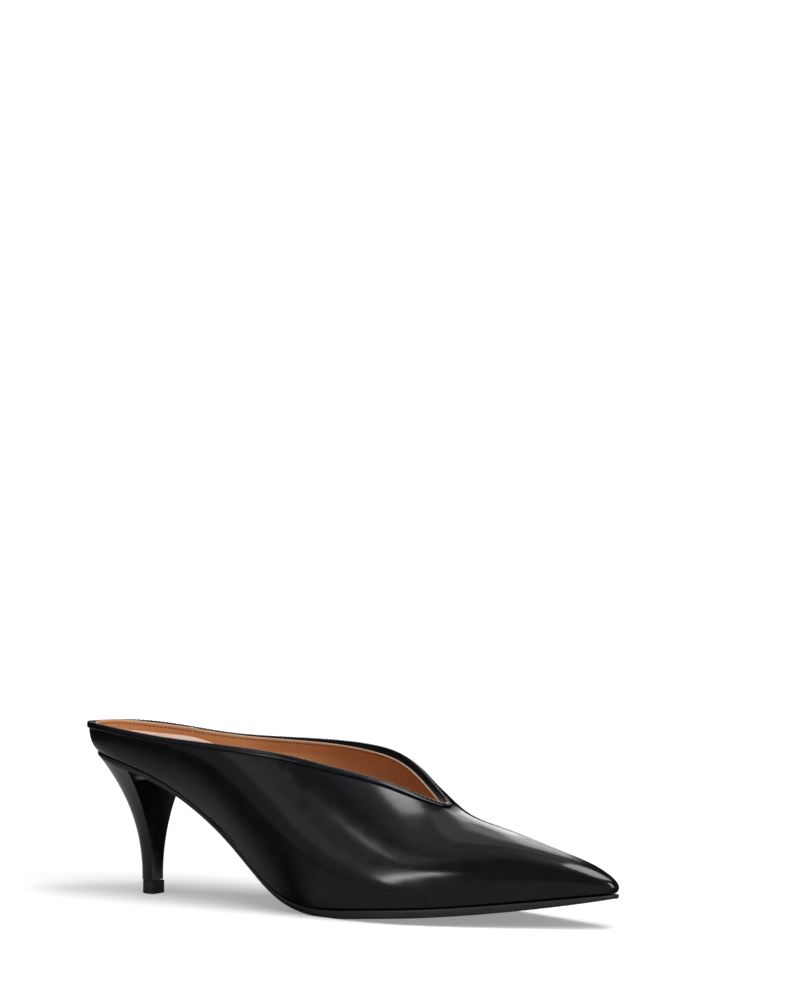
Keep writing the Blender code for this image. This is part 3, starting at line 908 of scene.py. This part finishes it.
# Down the edge: insets and drops of its round top, and insets and rises of its bevel in bevel heights.
EDGE_TOP = ((0.22, 0.0), (0.07, 0.05), (0.0, 0.2))
EDGE_BULGE = 0.05
EDGE_BEVEL = ((0.0, 1.0), (0.06, 0.86), (0.74, 0.1), (0.9, 0.02), (1.15, 0.0))
SOLE_BLACKS = ((0.016, 0.016, 0.018), (0.022, 0.022, 0.024))
SOLE_STATIONS = 220
SOLE_STRIPS = 30
sole_thick, sole_out = column(SOLE, 1), column(SOLE, 2)
sole_share = even(SOLE_STATIONS)


def sole_outline(side, share, inset=0.0):
    """The outsole's edge, seen from above."""
    first, final = LINE_ENDS["feather"]
    x = place(share, first - sole_out(0.0) + inset, final + SOLE_LIP - inset)
    width = last[f"{side}_feather"](share)
    ends = np.minimum(1.0, width / SOLE_END_WIDTH)
    return x, SIDES[side] * (width + (sole_out(share) - inset) * ends)


def under_sole(x, y):
    """Height of the outsole's underside, flat where it meets the floor."""
    share = reach(x, *LINE_ENDS["feather"])
    return np.maximum(0.0, feather_level(x, y) - GAP - sole_thick(share))


def sole_edge_rows(side):
    """Rows down the sole's edge: a tiny round at the top, the upright edge, the bevel, the underside."""
    bevel = sole_thick(sole_share) * SOLE_BEVEL
    rows = []
    for inset, drop in EDGE_TOP:
        x, y = sole_outline(side, sole_share, inset)
        rows.append(np.stack([x, y, feather_level(x, y) - GAP - drop], -1))
    x, y = sole_outline(side, sole_share, -EDGE_BULGE)
    upright_top = feather_level(x, y) - GAP - EDGE_TOP[-1][1]
    rows.append(np.stack([x, y, (upright_top + under_sole(x, y) + bevel) / 2.0], -1))
    for inset, rise in EDGE_BEVEL:
        x, y = sole_outline(side, sole_share, BEVEL_LEAN * bevel * inset)
        rows.append(np.stack([x, y, under_sole(x, y) + bevel * rise], -1))
    return np.stack(rows, 1)


sole_edges = {side: sole_edge_rows(side) for side in SIDES}
sole_top = across(sole_edges["lateral"][:, 0], sole_edges["medial"][:, 0], even(SOLE_STRIPS))
sole_top[..., 2] = feather_level(sole_top[..., 0], sole_top[..., 1]) - GAP
sole_top[:, 0], sole_top[:, -1] = sole_edges["lateral"][:, 0], sole_edges["medial"][:, 0]
sole_under = across(sole_edges["lateral"][:, -1], sole_edges["medial"][:, -1], even(SOLE_STRIPS))
sole_under[..., 2] = under_sole(sole_under[..., 0], sole_under[..., 1])

sole_black = leather("sole_black", SOLE_BLACKS, roughness=(0.38, 0.48), grain_mm=0.5, grain_depth=0.02,
                     specular=0.45, hide_mm=12.0)
piece_from_grids("sole", [sole_top, sole_under, *sole_edges.values()], sole_black, "outsole",
                 sharp=40.0)


# ---------------------------------------------------------------------------------------
# Heel. A slim plastic heel covered in the upper's leather, the cover drawn round from the back
# and turned over the edges of a slightly hollow breast.

LIFT_HEIGHT = 5.4
HEEL_FRONT_X = 28.8
STEM_LENGTH = 7.1
STEM_HALF_WIDTH = 3.8
STEM_FULLNESS = 0.8             # 1 is an ellipse, less is squarer
HEEL_FLARE = 2.2                # how late the stem opens out to the seat
SEAT_INSET = 0.7
BREAST_HOLLOW = 1.8
BREAST_COVE = (0.90, 0.06)      # where up the heel the hollow starts to turn out, and over how much
HEEL_BLACKS = ((0.0055, 0.0055, 0.0065), (0.007, 0.007, 0.0085))
HEEL_SIDES = 96
HEEL_LEVELS = 90
BREAST_STRIPS = 28

turns = np.linspace(-1.0, 1.0, HEEL_SIDES + 1)


def stem_outline(grow=0.0, shift=0.0):
    """The D-shaped stem, from its medial breast edge round the back to the lateral one."""
    angle = turns * pi / 2
    depth = (STEM_LENGTH + grow) * np.abs(np.cos(angle)) ** STEM_FULLNESS
    depth[[0, -1]] = 0.0
    wide = (STEM_HALF_WIDTH + grow) * np.abs(np.sin(angle)) ** STEM_FULLNESS
    return np.stack([HEEL_FRONT_X + shift - depth, np.where(turns > 0, -wide, wide), 0.0 * turns], -1)


def seat_outline():
    """The heel's outline under the seat."""
    breast = reach(HEEL_FRONT_X, *LINE_ENDS["feather"])
    x = np.empty_like(turns)
    y = np.empty_like(turns)
    for side, which in (("medial", turns <= 0), ("lateral", turns > 0)):
        x[which], y[which] = sole_outline(side, np.abs(turns[which]) * breast, SEAT_INSET)
    return np.stack([x, y, under_sole(x, y) - GAP], -1)


stem, seat = stem_outline(), seat_outline()
bottom_z = LIFT_HEIGHT + GAP
levels = even(HEEL_LEVELS)
heel_rows = []
for level in levels:
    ring = stem + (seat - stem) * level**HEEL_FLARE
    ring[:, 2] = bottom_z + (seat[:, 2] - bottom_z) * level
    heel_rows.append(ring)
heel_back = np.array(heel_rows)
heel_breast = across(heel_back[:, -1], heel_back[:, 0], even(BREAST_STRIPS))
off_middle = 2.0 * even(BREAST_STRIPS) - 1.0
cove_start, cove_height = BREAST_COVE
hollow = BREAST_HOLLOW * levels * (1.0 - smooth((levels - cove_start) / cove_height))
heel_breast[..., 0] -= (1.0 - off_middle**2)[None, :] * hollow[:, None]


def capped(back, breast):
    """The grids of a heel or a top piece with its bottom and top closed, from its back to its breast."""
    half = HEEL_SIDES // 2
    grids = [back, breast]
    for level in (0, -1):
        lateral, medial = back[level, half:-1], back[level, half:0:-1]
        middle = across(lateral, medial, even(BREAST_STRIPS))
        grids.append(np.concatenate([middle, breast[level][None]], axis=0))
    return grids


heel_calf = leather("heel_calf", HEEL_BLACKS, roughness=(0.15, 0.19), grain_mm=0.35, grain_depth=0.004,
                    hide_depth=0.03, specular=0.45, hide_mm=6.0)
piece_from_grids("covered_heel", capped(heel_back, heel_breast), heel_calf, "heel", sharp=35.0)


# ---------------------------------------------------------------------------------------
# Top piece. The small wearing block pinned under the heel, a hair larger all round than the
# stem and set slightly forward, with its lower edge broken by a file.

LIFT_SHIFT = 0.5
LIFT_RINGS = [
    # proud of the stem, height
    (-0.20, 0.00),
    (-0.02, 0.06),
    (0.12, 0.25),
    (0.15, 0.60),
    (0.15, 4.90),
    (0.12, 5.25),
    (0.00, LIFT_HEIGHT),
]
LIFT_BLACKS = ((0.018, 0.018, 0.019), (0.026, 0.026, 0.027))

lift_rings = []
for proud, height in LIFT_RINGS:
    ring = stem_outline(proud, LIFT_SHIFT)
    ring[:, 2] = height
    lift_rings.append(ring)
lift_back = np.array(lift_rings)
lift_front = across(lift_back[:, -1], lift_back[:, 0], even(BREAST_STRIPS))
lift_black = leather("lift_black", LIFT_BLACKS, roughness=(0.5, 0.62), grain_mm=0.3, grain_depth=0.03,
                     specular=0.4)
piece_from_grids("heel_lift", capped(lift_back, lift_front), lift_black, "top_piece", sharp=35.0)


# ---------------------------------------------------------------------------------------
# The studio: a pale sheet that sweeps up behind the shoe, soft boxes round it, the room beyond
# them, and the camera.

TARGET = place_mm((124.0, 0.0, 35.0))
VIEW_AZIMUTH = radians(33.0)
VIEW_ELEVATION = radians(5.538)
VIEW_DISTANCE = 1.3
LENS = 114.93
AIM_RIGHT = 0.016553            # the camera aims this far right of the shoe and above it,
AIM_UP = 0.100786               # as slopes
# The floor, from in front of the shoe to the wall behind: how far back, and how high, in metres.
SWEEP = [(-3.0, 0.0), (1.5, 0.0), (2.2, 0.05), (2.7, 0.25), (3.0, 0.6), (3.1, 1.2), (3.1, 4.0)]
SWEEP_HALF_WIDTH = 5.0
PAPER_COLOUR = (0.88, 0.88, 0.88)
PAPER_ROUGHNESS = 0.9
PAPER_SPECULAR = 0.1
# Painted reflection: polished leather sees a dimmer sheet than the eye does, with painted light and
# shade laid into it. Each row fades it from one value to another: by the bearing from the shoe in radians,
# by how far that is off the stripe's, or by metres along it.
DIM_PAPER = 0.215
BEARINGS_FROM = (0.02, 0.0, 0.0)
STRIPE_BEARING = radians(-50.0)
STRIPE_WIDTH = radians(20.0)
PAPER_FADES = [
    # by         from   to            value  value
    ("bearing", -1.05, -1.90,         1.00,  2.9),      # lighter behind the heel,
    ("stripe",   0.00, STRIPE_WIDTH,  0.00,  1.0),      # dark in a stripe to the left,
    ("along",   -0.47, -0.20,         0.05,  1.0),      # at the far left,
    ("bearing",  1.66,  1.31,         0.00,  1.0),      # past the toe's far side
    ("bearing", -2.90, -2.40,         0.10,  1.0),      # and straight across on the medial side
]
# Painted light: what the eye sees of the sheet glows by itself as well, less under the shoe than away from
# it: metres, and strengths.
GLOW_REACH = (0.25, 1.3)
GLOW = (0.30, 0.95)

level_right = Vector((cos(VIEW_AZIMUTH), sin(VIEW_AZIMUTH), 0.0))
level_back = Vector((-sin(VIEW_AZIMUTH), cos(VIEW_AZIMUTH), 0.0))
floor_mesh = bmesh.new()
rows = []
for back, height in SWEEP:
    middle = level_back * back + Vector((0.0, 0.0, height))
    left_end, right_end = middle - level_right * SWEEP_HALF_WIDTH, middle + level_right * SWEEP_HALF_WIDTH
    rows.append((floor_mesh.verts.new(left_end), floor_mesh.verts.new(right_end)))
for row, after in zip(rows, rows[1:]):
    floor_mesh.faces.new((row[0], row[1], after[1], after[0]))
floor_data = bpy.data.meshes.new("studio_floor")
floor_mesh.to_mesh(floor_data)
floor_mesh.free()
floor_data.shade_smooth()
studio_floor = added("studio_floor", floor_data)


def shader_mix(tree, which, first, second):
    """The second shader for that kind of ray and the first for all others, as a socket."""
    ray = node(tree, "ShaderNodeLightPath").outputs[which]
    return node(tree, "ShaderNodeMixShader", {0: ray, 1: first, 2: second}).outputs[0]


paper, tree, sheet = new_material("paper")
feed(sheet, {
    "Base Color": (*PAPER_COLOUR, 1.0),
    "Roughness": PAPER_ROUGHNESS,
    "Specular IOR Level": PAPER_SPECULAR,
})
spot = node(tree, "ShaderNodeTexCoord")
from_shoe = node(tree, "ShaderNodeVectorMath", {0: spot.outputs["Object"], 1: BEARINGS_FROM},
                 operation="SUBTRACT")
split = node(tree, "ShaderNodeSeparateXYZ", {"Vector": from_shoe.outputs[0]})
ahead = maths(tree, "MULTIPLY", split.outputs["Y"], -1.0)
bearing = maths(tree, "ARCTAN2", split.outputs["X"], ahead)
off_stripe = maths(tree, "ABSOLUTE", maths(tree, "SUBTRACT", bearing, STRIPE_BEARING))
sources = {"bearing": bearing, "stripe": off_stripe, "along": split.outputs["X"]}
fade = DIM_PAPER
for source, start, end, low, high in PAPER_FADES:
    ranged = node(tree, "ShaderNodeMapRange", {
        "Value": sources[source], "From Min": start, "From Max": end, "To Min": low, "To Max": high,
    }, interpolation_type="SMOOTHSTEP")
    fade = maths(tree, "MULTIPLY", ranged.outputs[0], fade)
# Painted reflection: glossy rays see this dim sheet, with its painted light and its painted dark stripe,
# instead of the lit one.
dim = node(tree, "ShaderNodeBsdfDiffuse", {"Color": fade})
choice = shader_mix(tree, "Is Glossy Ray", sheet.outputs[0], dim.outputs[0])
far = node(tree, "ShaderNodeVectorMath", {0: spot.outputs["Object"]}, operation="LENGTH")
rise = node(tree, "ShaderNodeMapRange", {
    "Value": far.outputs["Value"],
    "From Min": GLOW_REACH[0], "From Max": GLOW_REACH[1],
    "To Min": GLOW[0], "To Max": GLOW[1],
}, interpolation_type="SMOOTHSTEP")
# A painted glow: the sheet gives off light of its own where the camera looks at it.
glow = node(tree, "ShaderNodeEmission", {"Strength": rise.outputs[0]})
lit = node(tree, "ShaderNodeAddShader", {0: choice, 1: glow.outputs[0]})
feed(tree.nodes["Material Output"], {"Surface": shader_mix(tree, "Is Camera Ray", choice, lit.outputs[0])})
studio_floor.data.materials.append(paper)


BOX_DISTANCE = 2.0
BOXES_AROUND = Vector((0.0, 0.0, 0.03))
# Where each box stands round the shoe and above it and how it is rolled, in degrees, its size in metres,
# its brightness, and how green its light is. The strips and rear boxes only draw a gleam; a broad fill
# lights the table and stays out of the polish.
SOFT_BOXES = [
    # name            round  above   roll  wide  high  bright  green  lights, gleams
    ("top_box",       104.5,  70.0, -18.0, 1.00, 0.70,  6.00,  0.980, True,   True),
    ("top_core",      121.0,  80.0, -30.0, 0.75, 0.08,  5.40,  0.980, True,   True),
    ("low_strip",      -8.5,  26.5,  63.5, 1.00, 0.12, 10.80,  0.985, False,  True),
    ("side_strip",    -24.5,  54.0,  19.0, 0.37, 0.62,  4.10,  1.000, False,  True),
    ("right_box",      74.0,  28.0,  -3.0, 0.36, 1.40,  6.30,  1.000, True,   True),
    ("left_fill",     -41.0,  35.0,  -8.0, 1.45, 1.35,  0.30,  1.000, True,   True),
    ("rear_box",     -159.0,  32.0,  12.0, 0.30, 1.40,  1.70,  1.000, False,  True),
    ("rear_spill",   -156.0,  34.0,  12.0, 0.65, 1.50,  0.75,  1.000, False,  True),
    ("rear_halo",    -155.0,  60.0,   0.0, 0.95, 1.10,  0.42,  1.000, False,  True),
    ("overhead_fill",  35.0,  62.0,   0.0, 1.70, 1.70,  2.60,  1.000, True,   False),
]


def towards(azimuth, elevation):
    """The direction from the shoe at a bearing and an elevation in radians."""
    level = cos(elevation)
    return Vector((sin(azimuth) * level, -cos(azimuth) * level, sin(elevation)))


for name, azimuth, elevation, roll, wide, high, brightness, green, lights, gleams in SOFT_BOXES:
    light = bpy.data.lights.new(name, "AREA")
    light.shape = "RECTANGLE"
    light.size, light.size_y = wide, high
    light.energy = brightness * pi * wide * high
    light.color = (1.0, green, 1.0)
    box = added(name, light)
    direction = towards(radians(azimuth), radians(elevation))
    box.location = BOXES_AROUND + direction * BOX_DISTANCE
    box.rotation_mode = "QUATERNION"
    box.rotation_quaternion = direction.to_track_quat("Z", "Y") @ Quaternion((0.0, 0.0, 1.0), radians(roll))
    box.visible_diffuse, box.visible_glossy = lights, gleams

# The room beyond the boxes: dim near the horizon, almost black above, and black to the left.
ROOM = [(0.0, 0.19), (0.40, 0.19), (0.54, 0.003), (0.88, 0.003), (1.0, 0.36)]      # by height, and how light
ROOM_BLUE = 1.06
ROOM_LEFT = (-0.90, -0.74)
ROOM_BLACK = (0.003, 0.003, 0.003, 1.0)

world = bpy.data.worlds.new("studio")
world.use_nodes = True
tree = world.node_tree
heading = node(tree, "ShaderNodeTexCoord")
split = node(tree, "ShaderNodeSeparateXYZ", {"Vector": heading.outputs["Generated"]})
room = node(tree, "ShaderNodeValToRGB", {"Fac": split.outputs["Z"]})
while len(room.color_ramp.elements) < len(ROOM):
    room.color_ramp.elements.new(0.5)
for stop, (height, value) in zip(room.color_ramp.elements, ROOM):
    stop.position = height
    stop.color = (value, value, value * ROOM_BLUE, 1.0)
leftward = node(tree, "ShaderNodeMapRange", {
    "Value": split.outputs["X"], "From Min": ROOM_LEFT[0], "From Max": ROOM_LEFT[1],
}, interpolation_type="SMOOTHSTEP")
dimmed = colour_mix(tree, leftward.outputs[0], ROOM_BLACK, room.outputs["Color"])
backdrop = tree.nodes["Background"]
feed(backdrop, {"Color": dimmed})
# The eye sees plain white beyond the floor.
blank = node(tree, "ShaderNodeBackground", {"Color": (1.0, 1.0, 1.0, 1.0)})
either = shader_mix(tree, "Is Camera Ray", backdrop.outputs[0], blank.outputs[0])
feed(tree.nodes["World Output"], {"Surface": either})
bpy.context.scene.world = world
bpy.context.scene.view_settings.view_transform = "Standard"

camera_data = bpy.data.cameras.new("camera")
camera_data.lens = LENS
camera_data.sensor_width = 36.0
camera_data.clip_start, camera_data.clip_end = 0.05, 20.0
camera = added("camera", camera_data)
away = towards(VIEW_AZIMUTH, VIEW_ELEVATION)
right = (-away).cross(Vector((0.0, 0.0, 1.0))).normalized()
up = right.cross(-away)
look = (-away + right * AIM_RIGHT + up * AIM_UP).normalized()
camera.location = Vector(TARGET) + away * VIEW_DISTANCE
camera.rotation_mode = "QUATERNION"
camera.rotation_quaternion = look.to_track_quat("-Z", "Y")
bpy.context.scene.camera = camera
